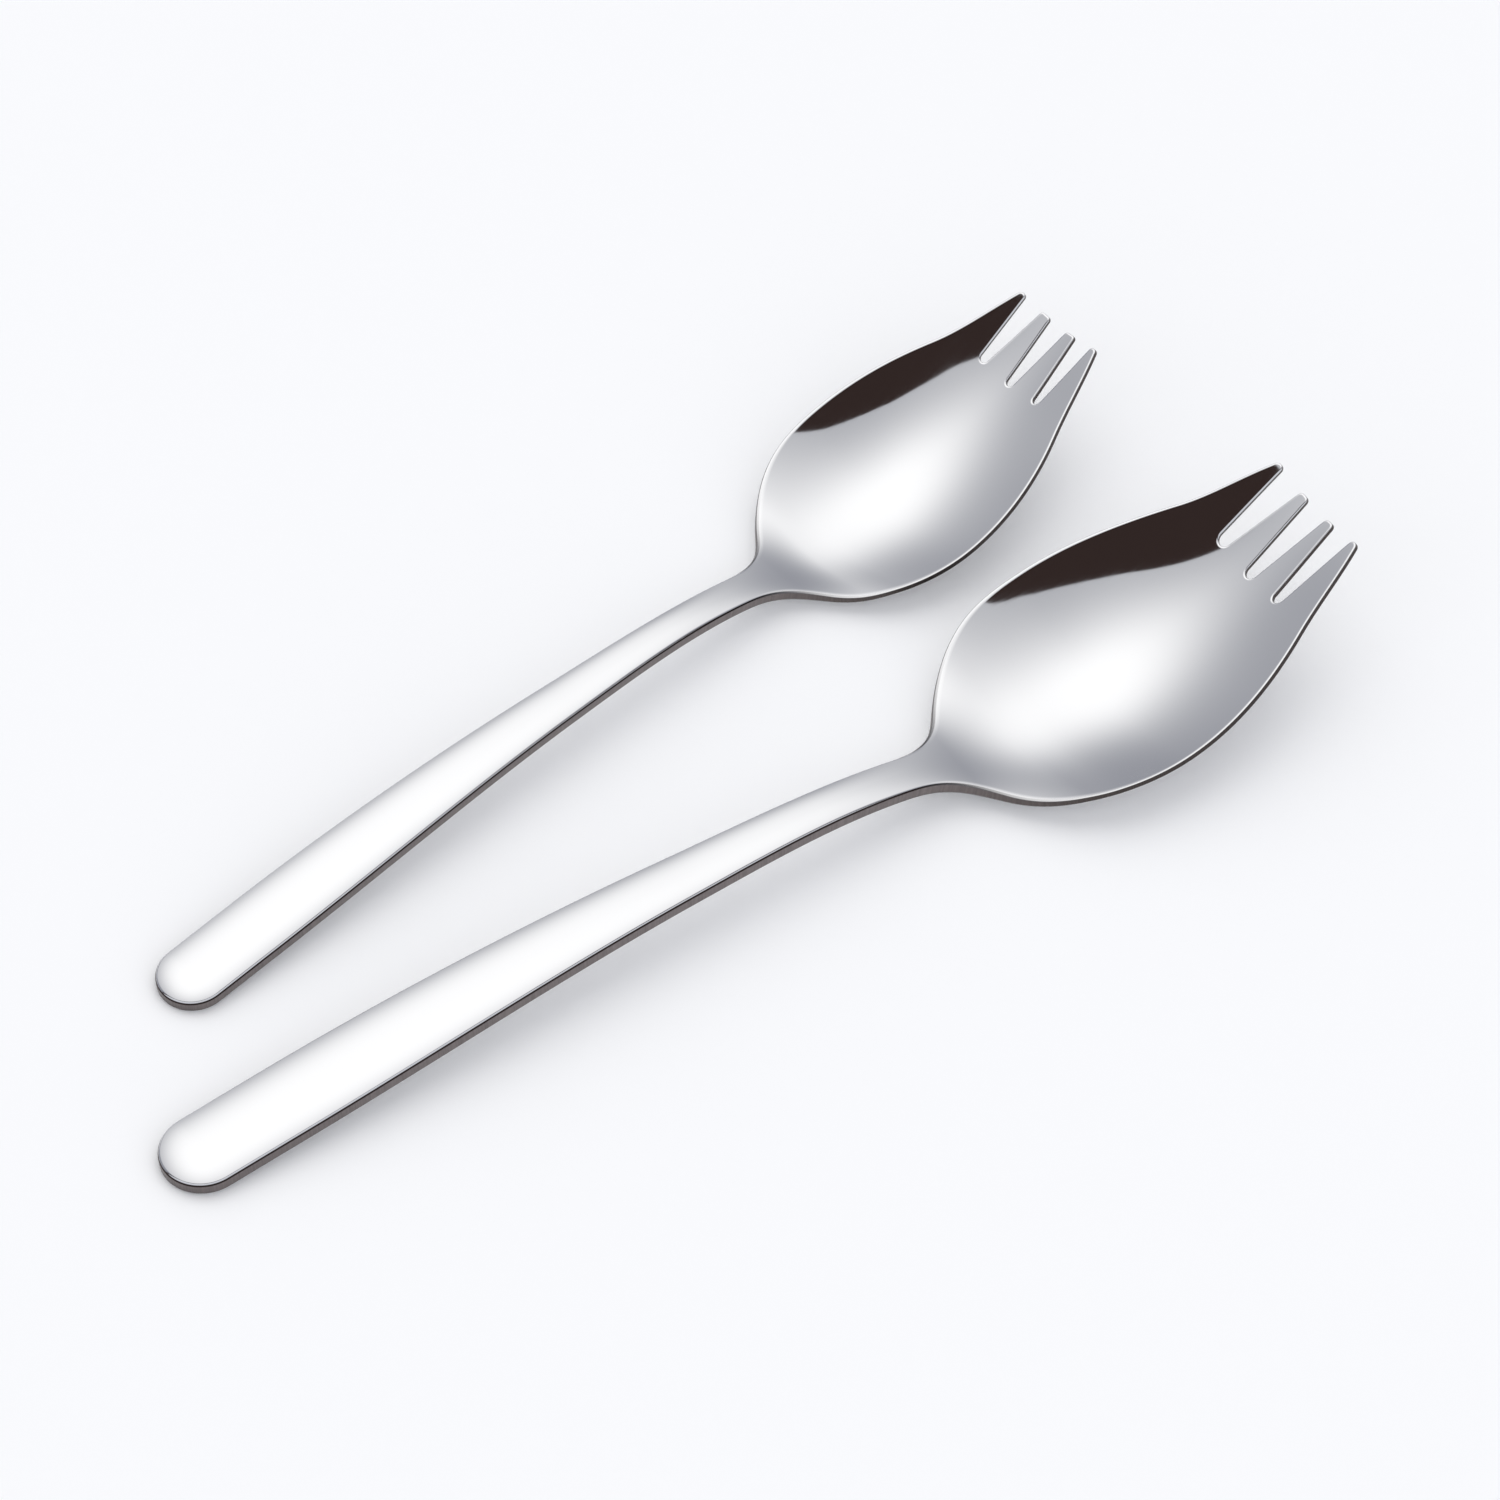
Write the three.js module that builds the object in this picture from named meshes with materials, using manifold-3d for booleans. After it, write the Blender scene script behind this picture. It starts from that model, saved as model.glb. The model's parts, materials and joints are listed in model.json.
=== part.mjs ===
// A pair of sporks of one pattern in two sizes, each stamped from a single steel blank.
// Millimetres, +Z up. The pair lies side by side on the plane z = 0. The large spork points
// along +X, and the origin is the spot where the underside of its bowl rests.

import * as THREE from 'three';
import { mergeVertices } from 'three/addons/utils/BufferGeometryUtils.js';
import Module from 'manifold-3d';

const wasm = await Module();
wasm.setup();

// Sizes of each spork. Lengths follow one another from the handle's end to the tips,
// widths go right across, heights are those of the sheet's middle above the table,
// and slopes are sideways or upward rise for each millimetre along the spork.
const LARGE = {
  name: 'large_spork',

  // outline, seen from above
  handleLength: 125.7,
  flareLength: 12.6,
  bowlBackLength: 23.9,
  bowlFrontLength: 23.9,
  tineLength: 13.9,
  endRoundLength: 6.5,
  handleWidth: 13.2,
  handleTaperStart: 20,
  neckWidth: 6.7,
  flareWidth: 18.9,
  flareSlope: 1.36,
  bowlWidth: 43.6,
  shoulderWidth: 30.8,
  shoulderSlope: -0.486,
  tipWidth: 19.8,
  tipSlope: -0.47,

  // line along the middle, seen from the side
  endSlope: 0.114,
  crestAt: 87.8,
  crestHeight: 8,
  heelPastNeck: 14.6,
  heelHeight: 1.65,
  heelSlope: -0.368,
  restBeforeWidest: 11.2,
  floorHeight: 1.1,
  floorRise: 0.195,
  tipHeight: 18.5,
  tipRise: 0.554,

  // section across the bowl, and the sheet itself
  dishRadius: 33.7,
  dishFadeLength: 11.1,
  tipDishRadius: 44.8,
  handleThickness: 2,
  bowlThickness: 1.1,
  edgeChamfer: 0.3,

  // the three slots between the tines
  slotLength: 12.5,
  slotRootWidth: 2.05,
  slotTipWidth: 4.6,
  slotRootPitch: 6.9,
  slotTipPitch: 6.35,
};

const SMALL = {
  name: 'small_spork',

  // outline, seen from above
  handleLength: 109.3,
  flareLength: 12.4,
  bowlBackLength: 19.8,
  bowlFrontLength: 20,
  tineLength: 13.2,
  endRoundLength: 5.5,
  handleWidth: 11.1,
  handleTaperStart: 17.4,
  neckWidth: 5.7,
  flareWidth: 16.2,
  flareSlope: 1.25,
  bowlWidth: 36.1,
  shoulderWidth: 26.5,
  shoulderSlope: -0.478,
  tipWidth: 16.2,
  tipSlope: -0.437,

  // line along the middle, seen from the side
  endSlope: 0.119,
  crestAt: 76.2,
  crestHeight: 7.1,
  heelPastNeck: 13.5,
  heelHeight: 1.3,
  heelSlope: -0.382,
  restBeforeWidest: 10.9,
  floorHeight: 1.25,
  floorRise: 0.21,
  tipHeight: 16.2,
  tipRise: 0.567,

  // section across the bowl, and the sheet itself
  dishRadius: 28.6,
  dishFadeLength: 9.6,
  tipDishRadius: 30.4,
  handleThickness: 1.8,
  bowlThickness: 1,
  edgeChamfer: 0.3,

  // the three slots between the tines
  slotLength: 10.2,
  slotRootWidth: 1.4,
  slotTipWidth: 3.5,
  slotRootPitch: 5.75,
  slotTipPitch: 5.3,
};

// The small spork lies at the large one's left side, its bowl beside the large bowl.
const BOWL_GAP = 8.3;
const SMALL_SET_BACK = 4.3;
const SMALL_SPLAY = THREE.MathUtils.degToRad(8.2);

// Depth to which the undersides are flat where they rest on the table.
const REST_FLAT_DEPTH = 0.2;

const SLOTS = 3;

// Fineness of the facets: steps round the handle's end, along each stretch and across
// the sheet. The first cut lies a share of a step in from the very end, and slopes are
// measured over a short reach.
const END_STEPS = 6;
const END_FIRST_SHARE = 0.4;
const HANDLE_STEP = 6.5;
const BOWL_STEP = 2.6;
const STEPS_ACROSS = 14;
const SLOT_ROOT_STEPS = 10;
const SLOPE_REACH = 0.01;

const POLISHED_STEEL = { color: 0xc9cacd, roughness: 0.12, metalness: 1 };

// Places along the spork, measured from the handle's end.
function placesAlong(size) {
  const neck = size.handleLength;
  const flare = neck + size.flareLength;
  const widest = flare + size.bowlBackLength;
  const shoulder = widest + size.bowlFrontLength;
  const tip = shoulder + size.tineLength;
  const heel = neck + size.heelPastNeck;
  const rest = widest - size.restBeforeWidest;
  return { neck, flare, widest, shoulder, tip, heel, rest };
}

// Smooth curve through [place, value, slope] knots, a cubic between each two.
function smoothCurve(knots, x) {
  const last = knots.length - 2;
  const found = knots.findIndex((knot, i) => i <= last && x <= knots[i + 1][0]);
  const i = found < 0 ? last : found;
  const [x0, y0, slope0] = knots[i];
  const [x1, y1, slope1] = knots[i + 1];
  const span = x1 - x0;
  const t = (x - x0) / span;
  const toEnd = t * t * (3 - 2 * t);
  const startPull = t * (1 - t) * (1 - t) * span * slope0;
  const endPull = t * t * (t - 1) * span * slope1;
  return y0 + (y1 - y0) * toEnd + startPull + endPull;
}

function halfWidth(size, x) {
  const at = placesAlong(size);
  const outline = [
    [0, size.handleWidth / 2, 0],
    [size.handleTaperStart, size.handleWidth / 2, 0],
    [at.neck, size.neckWidth / 2, 0],
    [at.flare, size.flareWidth / 2, size.flareSlope],
    [at.widest, size.bowlWidth / 2, 0],
    [at.shoulder, size.shoulderWidth / 2, size.shoulderSlope],
    [at.tip, size.tipWidth / 2, size.tipSlope],
  ];
  const fromRound = Math.max(0, 1 - x / size.endRoundLength);
  return smoothCurve(outline, x) * Math.sqrt(1 - fromRound * fromRound);
}

// Height of the sheet's middle along the spork: the handle arches from its end over a
// crest, dips into the bowl where the spork rests, and sweeps up to the tips.
function spineHeight(size, x) {
  const at = placesAlong(size);
  return smoothCurve([
    [0, size.handleThickness / 2 - REST_FLAT_DEPTH, size.endSlope],
    [size.crestAt, size.crestHeight, 0],
    [at.heel, size.heelHeight, size.heelSlope],
    [at.rest, size.bowlThickness / 2 - REST_FLAT_DEPTH, 0],
    [at.widest, size.floorHeight, size.floorRise],
    [at.tip, size.tipHeight, size.tipRise],
  ], x);
}

// The section across is a parabola, flat in the handle, dished from the neck on,
// and a little shallower again at the tips.
function dishCurvature(size, x) {
  const at = placesAlong(size);
  const bowl = THREE.MathUtils.smoothstep(x, at.neck, at.heel) / size.dishRadius;
  const fade = THREE.MathUtils.smoothstep(x, at.shoulder - size.dishFadeLength, at.tip);
  return THREE.MathUtils.lerp(bowl, 1 / size.tipDishRadius, fade);
}

function sheetHeight(size, x, y) {
  return spineHeight(size, x) + dishCurvature(size, x) * y * y / 2;
}

function thickness(size, x) {
  const at = placesAlong(size);
  const thinned = THREE.MathUtils.smoothstep(x, at.neck, at.rest);
  return THREE.MathUtils.lerp(size.handleThickness, size.bowlThickness, thinned);
}

// A point off the sheet's middle by some distance square to it, kept above the table.
function sheetPoint(size, x, y, offset) {
  const rise = sheetHeight(size, x + SLOPE_REACH, y) - sheetHeight(size, x - SLOPE_REACH, y);
  const lean = dishCurvature(size, x) * y;
  const normal = new THREE.Vector3(-rise / (2 * SLOPE_REACH), -lean, 1).normalize();
  const point = new THREE.Vector3(x, y, sheetHeight(size, x, y));
  point.addScaledVector(normal, offset);
  point.z = Math.max(0, point.z);
  return point;
}

// Cut positions along the spork: close together round the handle's end and in the bowl.
function stations(size) {
  const at = placesAlong(size);
  const round = [];
  for (let i = 0; i < END_STEPS; i += 1) {
    const share = (i + END_FIRST_SHARE) / (END_STEPS - 1 + END_FIRST_SHARE);
    const angle = share * Math.PI / 2;
    round.push(size.endRoundLength * (1 - Math.cos(angle)));
  }
  const stretch = (from, to, step) => {
    const count = Math.ceil((to - from) / step);
    return Array.from({ length: count }, (_, i) => from + (to - from) * (i + 1) / count);
  };
  return [
    ...round,
    ...stretch(size.endRoundLength, at.neck, HANDLE_STEP),
    ...stretch(at.neck, at.rest, BOWL_STEP),
    ...stretch(at.rest, at.tip, BOWL_STEP),
  ];
}

// One row of points across the sheet, on the upper side (+1) or the lower side (-1):
// the outermost point at each edge lies lower by the chamfer, the rest are spread evenly.
function rowAcross(size, x, side) {
  const half = halfWidth(size, x);
  const inner = half - size.edgeChamfer;
  const face = side * thickness(size, x) / 2;
  const edge = face - side * size.edgeChamfer;
  const row = [sheetPoint(size, x, -half, edge)];
  for (let j = 0; j <= STEPS_ACROSS; j += 1) {
    row.push(sheetPoint(size, x, inner * (2 * j / STEPS_ACROSS - 1), face));
  }
  row.push(sheetPoint(size, x, half, edge));
  return row;
}

// Closed body between two sheets of points with the same rows and columns.
function shellBetween(upper, lower) {
  const rows = upper.length;
  const columns = upper[0].length;
  const points = [...upper.flat(), ...lower.flat()];
  const top = (i, j) => i * columns + j;
  const bottom = (i, j) => rows * columns + i * columns + j;
  const index = [];
  const quad = (a, b, c, d) => index.push(a, b, c, a, c, d);
  for (let i = 0; i < rows - 1; i += 1) {
    for (let j = 0; j < columns - 1; j += 1) {
      quad(top(i, j), top(i + 1, j), top(i + 1, j + 1), top(i, j + 1));
      quad(bottom(i, j), bottom(i, j + 1), bottom(i + 1, j + 1), bottom(i + 1, j));
    }
    const edge = columns - 1;
    quad(top(i, 0), bottom(i, 0), bottom(i + 1, 0), top(i + 1, 0));
    quad(top(i, edge), top(i + 1, edge), bottom(i + 1, edge), bottom(i, edge));
  }
  for (let j = 0; j < columns - 1; j += 1) {
    const end = rows - 1;
    quad(top(0, j), top(0, j + 1), bottom(0, j + 1), bottom(0, j));
    quad(top(end, j), bottom(end, j), bottom(end, j + 1), top(end, j + 1));
  }
  const geometry = new THREE.BufferGeometry().setFromPoints(points);
  geometry.setIndex(index);
  return geometry;
}

// Upright cutter for one slot: a round root, then straight sides that open to the tips.
function slotCutter(size, number) {
  const at = placesAlong(size);
  const side = number - (SLOTS - 1) / 2;
  const rootRadius = size.slotRootWidth / 2;
  const root = at.tip - size.slotLength + rootRadius;
  const rootMiddle = side * size.slotRootPitch;
  const past = 1 + size.tipRise * size.bowlThickness / (at.tip - root);
  const end = THREE.MathUtils.lerp(root, at.tip, past);
  const endMiddle = THREE.MathUtils.lerp(rootMiddle, side * size.slotTipPitch, past);
  const endHalf = THREE.MathUtils.lerp(rootRadius, size.slotTipWidth / 2, past);
  const outline = new THREE.Shape();
  outline.moveTo(end, endMiddle + endHalf);
  outline.lineTo(root, rootMiddle + rootRadius);
  outline.absarc(root, rootMiddle, rootRadius, Math.PI / 2, 3 * Math.PI / 2, false);
  outline.lineTo(end, endMiddle - endHalf);
  const depth = 2 * size.tipHeight;
  return new THREE.ExtrudeGeometry(outline, { depth, bevelEnabled: false, curveSegments: SLOT_ROOT_STEPS });
}

function toSolid(geometry) {
  geometry.deleteAttribute('normal');
  geometry.deleteAttribute('uv');
  const merged = mergeVertices(geometry);
  const vertProperties = new Float32Array(merged.attributes.position.array);
  const triVerts = new Uint32Array(merged.index.array);
  return new wasm.Manifold(new wasm.Mesh({ numProp: 3, vertProperties, triVerts }));
}

function toGeometry(solid) {
  const { vertProperties, triVerts } = solid.getMesh();
  const geometry = new THREE.BufferGeometry();
  geometry.setAttribute('position', new THREE.BufferAttribute(vertProperties, 3));
  geometry.setIndex(new THREE.BufferAttribute(triVerts, 1));
  geometry.computeVertexNormals();
  return geometry;
}

// One spork, lying along +X with its handle's end at x = 0.
function spork(size) {
  const places = stations(size);
  const upper = places.map((x) => rowAcross(size, x, 1));
  const lower = places.map((x) => rowAcross(size, x, -1));
  let solid = toSolid(shellBetween(upper, lower));
  for (let number = 0; number < SLOTS; number += 1) {
    solid = solid.subtract(toSolid(slotCutter(size, number)));
  }
  const mesh = new THREE.Mesh(toGeometry(solid), new THREE.MeshStandardMaterial(POLISHED_STEEL));
  mesh.name = size.name;
  return mesh;
}

const largeAt = placesAlong(LARGE);
const smallAt = placesAlong(SMALL);

const large = spork(LARGE);
large.position.x = -largeAt.rest;

// The small spork turns about the middle of its bowl.
const small = spork(SMALL);
small.position.x = -smallAt.widest;
const smallPlace = new THREE.Group();
smallPlace.position.x = largeAt.widest - largeAt.rest - SMALL_SET_BACK;
smallPlace.position.y = LARGE.bowlWidth / 2 + BOWL_GAP + SMALL.bowlWidth / 2;
smallPlace.rotation.z = SMALL_SPLAY;
smallPlace.add(small);

const sporkPair = new THREE.Group();
sporkPair.add(large, smallPlace);

export default sporkPair;
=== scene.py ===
"""A pair of stamped steel sporks of one pattern, large and small, lying on a pale studio floor.

Each spork is one sheet of steel: a flat outline lifted onto a curved middle surface, with a
mirror-polished face above and below and a narrow rounded edge all the way round.
"""

import json
import math
from types import SimpleNamespace

import bmesh
import bpy
import numpy as np
from bpy.props import FloatProperty, FloatVectorProperty, PointerProperty
from bpy.types import Operator, Panel, PropertyGroup
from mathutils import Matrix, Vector


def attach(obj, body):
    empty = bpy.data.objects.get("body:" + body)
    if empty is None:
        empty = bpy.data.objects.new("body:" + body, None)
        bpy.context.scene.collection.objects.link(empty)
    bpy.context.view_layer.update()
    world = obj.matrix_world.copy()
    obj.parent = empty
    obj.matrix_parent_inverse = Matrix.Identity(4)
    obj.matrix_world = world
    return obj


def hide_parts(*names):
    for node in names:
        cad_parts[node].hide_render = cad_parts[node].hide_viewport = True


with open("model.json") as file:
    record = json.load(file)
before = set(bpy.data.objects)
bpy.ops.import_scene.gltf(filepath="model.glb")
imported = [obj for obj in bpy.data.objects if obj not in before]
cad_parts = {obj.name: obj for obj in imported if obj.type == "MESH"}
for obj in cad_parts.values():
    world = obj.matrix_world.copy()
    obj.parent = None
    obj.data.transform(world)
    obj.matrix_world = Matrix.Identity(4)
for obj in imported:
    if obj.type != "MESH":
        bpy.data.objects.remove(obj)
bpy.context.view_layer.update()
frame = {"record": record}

bl_info = {
    "name": "Spork pair",
    "version": (1, 0, 0),
    "blender": (4, 5, 0),
    "location": "View3D > Sidebar > Sporks",
    "description": "Makes a large and a small stamped steel spork and a studio stage for them",
    "category": "Object",
}

MOUNTS = {mount["name"]: Vector(mount["pos_m"]) for mount in frame["record"]["mounts"]}
MM = 0.001

# Depth to which the undersides are flat where they rest on the table.
REST_FLAT_DEPTH = 0.2 * MM

# How straight the bowl's sides are: near 0 the section is a parabola, and a V when it is large.
SECTION_STEEPNESS = 1.4

# How flat the handle's crown is in the middle: 2 gives a parabola, and more is flatter.
CROWN_POWER = 2.3

# How near the bowl's rim the sheet thins: the power of the share of the way out to it.
RIM_POWER = 4

# The slots lie side by side, and a tine stands on each side of every slot.
SLOTS = 3
TINES = SLOTS + 1

# Fineness of the surface: steps along each stretch of the outline, columns across each tine
# and round each slot's root, and steps round the edge.
END_STEPS = 26
HANDLE_STEPS = 110
BOWL_STEPS = 66
SHOULDER_STEPS = 14
TINE_STEPS = 24
CORNER_STEPS = 7
TINE_COLUMNS = 8
ROOT_COLUMNS = 12
ROUND_STEPS = 6
LAND_STEPS = 2

# Slopes are measured over a short reach, and points closer than the weld are one point.
SLOPE_REACH = 0.01 * MM
WELD_REACH = 0.0005 * MM

# The steel's patterns: spacing along the surface and depth.
STEEL_NAME = "mirror_polished_stainless_steel"
LINE_LENGTH = 14 * MM
LINE_SPACING = 0.4 * MM
LINE_DEPTH = 0.0001 * MM
WAVE_SPACING = 9 * MM
WAVE_DEPTH = 0.003 * MM
GRAIN_SIZE = 0.3 * MM
GRAIN_DEPTH = 0.02 * MM

# Most of a noise lies in this span. Over it the cut edge's tone and the faces' roughness go
# from the first to the second of their factors.
NOISE_SPAN = (0.3, 0.7)
EDGE_TONES = (0.85, 1.15)
ROUGHNESS_FACTORS = (0.8, 1.25)

# Shares of the way round the edge at which the painted dark reflection line at the corner and the cut
# land, painted darker in part as a reflection, set in.
CORNER_SHARES = (0.25, 0.5)
LAND_SHARES = (0.8, 1)

# The stage: the camera's sensor in millimetres and the floor in metres.
SENSOR_WIDTH = 36
FLOOR_SIZE = 40
FLOOR_DROP = 0.05 * MM
FILL_ANGLE = math.radians(170)

# The softbox, with directions as the camera sees them: X right, Y away and Z up. First its
# middle, then how steeply it falls off to the right, to the left, away from the camera and
# towards it, and the power of that fall. Next the bowed edge that ends it on the camera's side,
# as the factors of x squared, of x and of 1 on a flat map, with the line at which the bow stops
# and the edge's softness. A dark flag hangs beyond the edge, full up to the first of its widths
# and faded out at the second.
SOFTBOX_MIDDLE = (-0.1952, 0.3352, 0.9217)
SOFTBOX_FALLS = (
    ((0.9403, 0.331, 0.0788), 4.65),
    ((-0.9403, -0.331, -0.0788), 16.8),
    ((-0.2787, 0.8821, -0.3798), 5.5),
    ((0.2787, -0.8821, 0.3798), 11.8),
)
SOFTBOX_FALL_POWER = 1.6
SOFTBOX_EDGE = (1.75, 0.21, -0.124)
EDGE_LIMIT = -0.02
EDGE_SOFTNESS = 0.0006
FLAG_WIDTHS = (0.07, 0.1)

# What each size is. Lengths follow one another from the handle's end to the tips, widths go
# right across, and heights are those of the sheet's middle above the table.
LENGTH_WORDS = {
    "handle_length": "From the handle's end to the neck",
    "flare_length": "From the neck to the place where the flare is steepest",
    "bowl_back_length": "From the flare to the bowl's widest place",
    "bowl_front_length": "From the bowl's widest place to the shoulder beside the slots",
    "tine_length": "From the shoulder to the tips",
    "end_round_length": "Length of the rounded end of the handle",
    "handle_width": "Width of the handle at its end",
    "handle_taper_start": "Distance from the end at which the handle starts to narrow",
    "neck_width": "Width of the neck, the narrowest place",
    "flare_width": "Width where the flare is steepest",
    "bowl_width": "Width of the bowl at its widest place",
    "shoulder_width": "Width at the shoulder beside the slots",
    "tip_width": "Width over the outer tips",
    "crest_at": "Distance from the end to the handle's highest place",
    "crest_height": "Height of the handle's crest",
    "heel_past_neck": "Distance from the neck to the steepest place above the bowl's heel",
    "heel_height": "Height at the steepest place",
    "floor_before_rest": "Distance from the start of the bowl's floor to the resting place",
    "floor_start_height": "Height at the start of the bowl's floor",
    "rest_before_widest": "Distance from the resting place to the bowl's widest place",
    "floor_height": "Height of the bowl's middle at its widest place",
    "tip_height": "Height of the tips",
    "dish_start_length": "Distance from the neck over which the dish deepens",
    "dish_radius": "Radius that gives the bowl's depth across its width",
    "dish_fade_length": "Distance before the shoulder at which the tips' dish starts to take over",
    "tip_dish_radius": "Radius that gives the dish's depth across the tips",
    "handle_thickness": "Thickness of the sheet at the handle's edge",
    "bowl_thickness": "Thickness of the sheet in the bowl",
    "rim_thickness": "Thickness to which the sheet thins at the bowl's rim and the tines",
    "handle_crown": "How much the middle of the handle's upper face stands above its edges",
    "crown_before_neck": "Distance before the neck at which the crown starts to fade",
    "crown_past_neck": "Distance past the neck at which the crown has faded",
    "handle_rounding": "Depth of the handle's rounded edge",
    "bowl_rounding": "Depth of the rounded edge round the bowl and the tines",
    "handle_roll": "Width over which the handle's upper face rolls over into its edge",
    "flare_roll": "Width over which the flare's upper face rolls over into its edge",
    "bowl_roll": "Width over which the bowl's upper face rolls over into its edge",
    "tine_roll": "Width over which the tines' upper faces roll over into their edges",
    "tip_rounding": "Radius of the corners of the tines' ends",
    "slot_length": "Length of a slot",
    "slot_root_width": "Width of a slot at its root",
    "slot_tip_width": "Width of a slot at the tips",
    "slot_root_pitch": "Distance between two slots at their roots",
    "slot_tip_pitch": "Distance between two slots at the tips",
}
SLOPE_WORDS = {
    "flare_slope": "Sideways rise of the outline at the flare",
    "shoulder_slope": "Sideways rise of the outline at the shoulder",
    "tip_slope": "Sideways rise of the outline at the tips",
    "end_slope": "Upward rise at the handle's end",
    "heel_slope": "Upward rise at the steepest place above the heel",
    "floor_start_slope": "Upward rise at the start of the bowl's floor",
    "floor_rise": "Upward rise at the bowl's widest place",
    "tip_rise": "Upward rise at the tips",
}

# Lengths in millimetres, slopes as rise for each millimetre along the spork.
LARGE_SIZES = {
    "handle_length": 125.7,
    "flare_length": 12.6,
    "bowl_back_length": 23.9,
    "bowl_front_length": 23.9,
    "tine_length": 13.9,
    "end_round_length": 6.5,
    "handle_width": 13.2,
    "handle_taper_start": 20,
    "neck_width": 6.7,
    "flare_width": 18.9,
    "flare_slope": 1.36,
    "bowl_width": 43.6,
    "shoulder_width": 30.8,
    "shoulder_slope": -0.486,
    "tip_width": 19.8,
    "tip_slope": -0.47,
    "end_slope": 0.114,
    "crest_at": 87.8,
    "crest_height": 8,
    "heel_past_neck": 10.3,
    "heel_height": 2.85,
    "heel_slope": -0.37,
    "floor_before_rest": 5,
    "floor_start_height": 0.5,
    "floor_start_slope": -0.08,
    "rest_before_widest": 11.2,
    "floor_height": 1.1,
    "floor_rise": 0.195,
    "tip_height": 18.3,
    "tip_rise": 0.554,
    "dish_start_length": 22,
    "dish_radius": 33.7,
    "dish_fade_length": 11.1,
    "tip_dish_radius": 32,
    "handle_thickness": 2,
    "bowl_thickness": 1.1,
    "rim_thickness": 0.85,
    "handle_crown": 1.05,
    "crown_before_neck": 14,
    "crown_past_neck": 10,
    "handle_rounding": 0.4,
    "bowl_rounding": 0.16,
    "handle_roll": 0.42,
    "flare_roll": 1.1,
    "bowl_roll": 0.42,
    "tine_roll": 0.3,
    "tip_rounding": 0.6,
    "slot_length": 12.5,
    "slot_root_width": 2.05,
    "slot_tip_width": 4.6,
    "slot_root_pitch": 6.9,
    "slot_tip_pitch": 6.35,
}
SMALL_SIZES = {
    "handle_length": 109.3,
    "flare_length": 12.4,
    "bowl_back_length": 19.8,
    "bowl_front_length": 20,
    "tine_length": 13.2,
    "end_round_length": 5.5,
    "handle_width": 11.1,
    "handle_taper_start": 17.4,
    "neck_width": 5.7,
    "flare_width": 16.2,
    "flare_slope": 1.25,
    "bowl_width": 36.1,
    "shoulder_width": 26.5,
    "shoulder_slope": -0.478,
    "tip_width": 16.2,
    "tip_slope": -0.437,
    "end_slope": 0.119,
    "crest_at": 76.2,
    "crest_height": 7.1,
    "heel_past_neck": 9.7,
    "heel_height": 2.4,
    "heel_slope": -0.37,
    "floor_before_rest": 4.5,
    "floor_start_height": 0.48,
    "floor_start_slope": -0.09,
    "rest_before_widest": 10.9,
    "floor_height": 1.25,
    "floor_rise": 0.21,
    "tip_height": 16.2,
    "tip_rise": 0.567,
    "dish_start_length": 20,
    "dish_radius": 28.6,
    "dish_fade_length": 9.6,
    "tip_dish_radius": 30.4,
    "handle_thickness": 1.8,
    "bowl_thickness": 1,
    "rim_thickness": 0.8,
    "handle_crown": 0.93,
    "crown_before_neck": 12,
    "crown_past_neck": 8.7,
    "handle_rounding": 0.38,
    "bowl_rounding": 0.15,
    "handle_roll": 0.4,
    "flare_roll": 1,
    "bowl_roll": 0.4,
    "tine_roll": 0.3,
    "tip_rounding": 0.46,
    "slot_length": 10.2,
    "slot_root_width": 1.4,
    "slot_tip_width": 3.5,
    "slot_root_pitch": 5.75,
    "slot_tip_pitch": 5.3,
}


def linear(hex_colour):
    """The linear red, green and blue of an sRGB colour written as #rrggbb."""
    srgb = np.array([int(hex_colour[i:i + 2], 16) for i in (1, 3, 5)]) / 255
    low = srgb / 12.92
    high = ((srgb + 0.055) / 1.055) ** 2.4
    return tuple(np.where(srgb <= 0.04045, low, high).tolist())


def size_properties(sizes):
    """One float property for each size, with its words and its default from the list."""
    made = {}
    for key, value in sizes.items():
        is_length = key in LENGTH_WORDS
        made[key] = FloatProperty(
            name=key.replace("_", " ").capitalize(),
            description=LENGTH_WORDS[key] if is_length else SLOPE_WORDS[key],
            default=value * MM if is_length else value,
            unit="LENGTH" if is_length else "NONE",
            precision=5,
        )
    return made


class LargeSporkSizes(PropertyGroup):
    """Sizes of the large spork."""

    __annotations__ = size_properties(LARGE_SIZES)


class SmallSporkSizes(PropertyGroup):
    """Sizes of the small spork."""

    __annotations__ = size_properties(SMALL_SIZES)


def colour_property(name, description, hex_colour):
    """A colour property whose default is an sRGB hex value."""
    return FloatVectorProperty(
        name=name, description=description, default=linear(hex_colour), subtype="COLOR", min=0, max=1
    )


class SteelFinish(PropertyGroup):
    """Colours and gloss of the steel."""

    face_colour: colour_property("Polished face", "Colour of the mirror-polished faces", "#e6e6e7")
    # Corner: a painted dark reflection, a dark line where the handle's faces turn over into the edge.
    corner_dark_reflection_colour: colour_property("Corner", "Colour of the line where the edge turns over", "#2a2120")
    # Cut edge and rim: darker partly as duller tumbled steel and partly as a painted dark reflection.
    edge_tumbled_and_reflection_colour: colour_property("Cut edge", "Colour of the handle's cut edge, only tumbled", "#7a7372")
    rim_tumbled_and_reflection_colour: colour_property("Rim", "Colour of the thin cut edge round the bowl and tines", "#4c4644")
    face_roughness: FloatProperty(
        name="Face roughness",
        description="Roughness of the polished faces",
        default=0.03,
        subtype="FACTOR",
    )
    edge_roughness: FloatProperty(
        name="Edge roughness",
        description="Roughness of the cut edge",
        default=0.34,
        subtype="FACTOR",
    )


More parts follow.
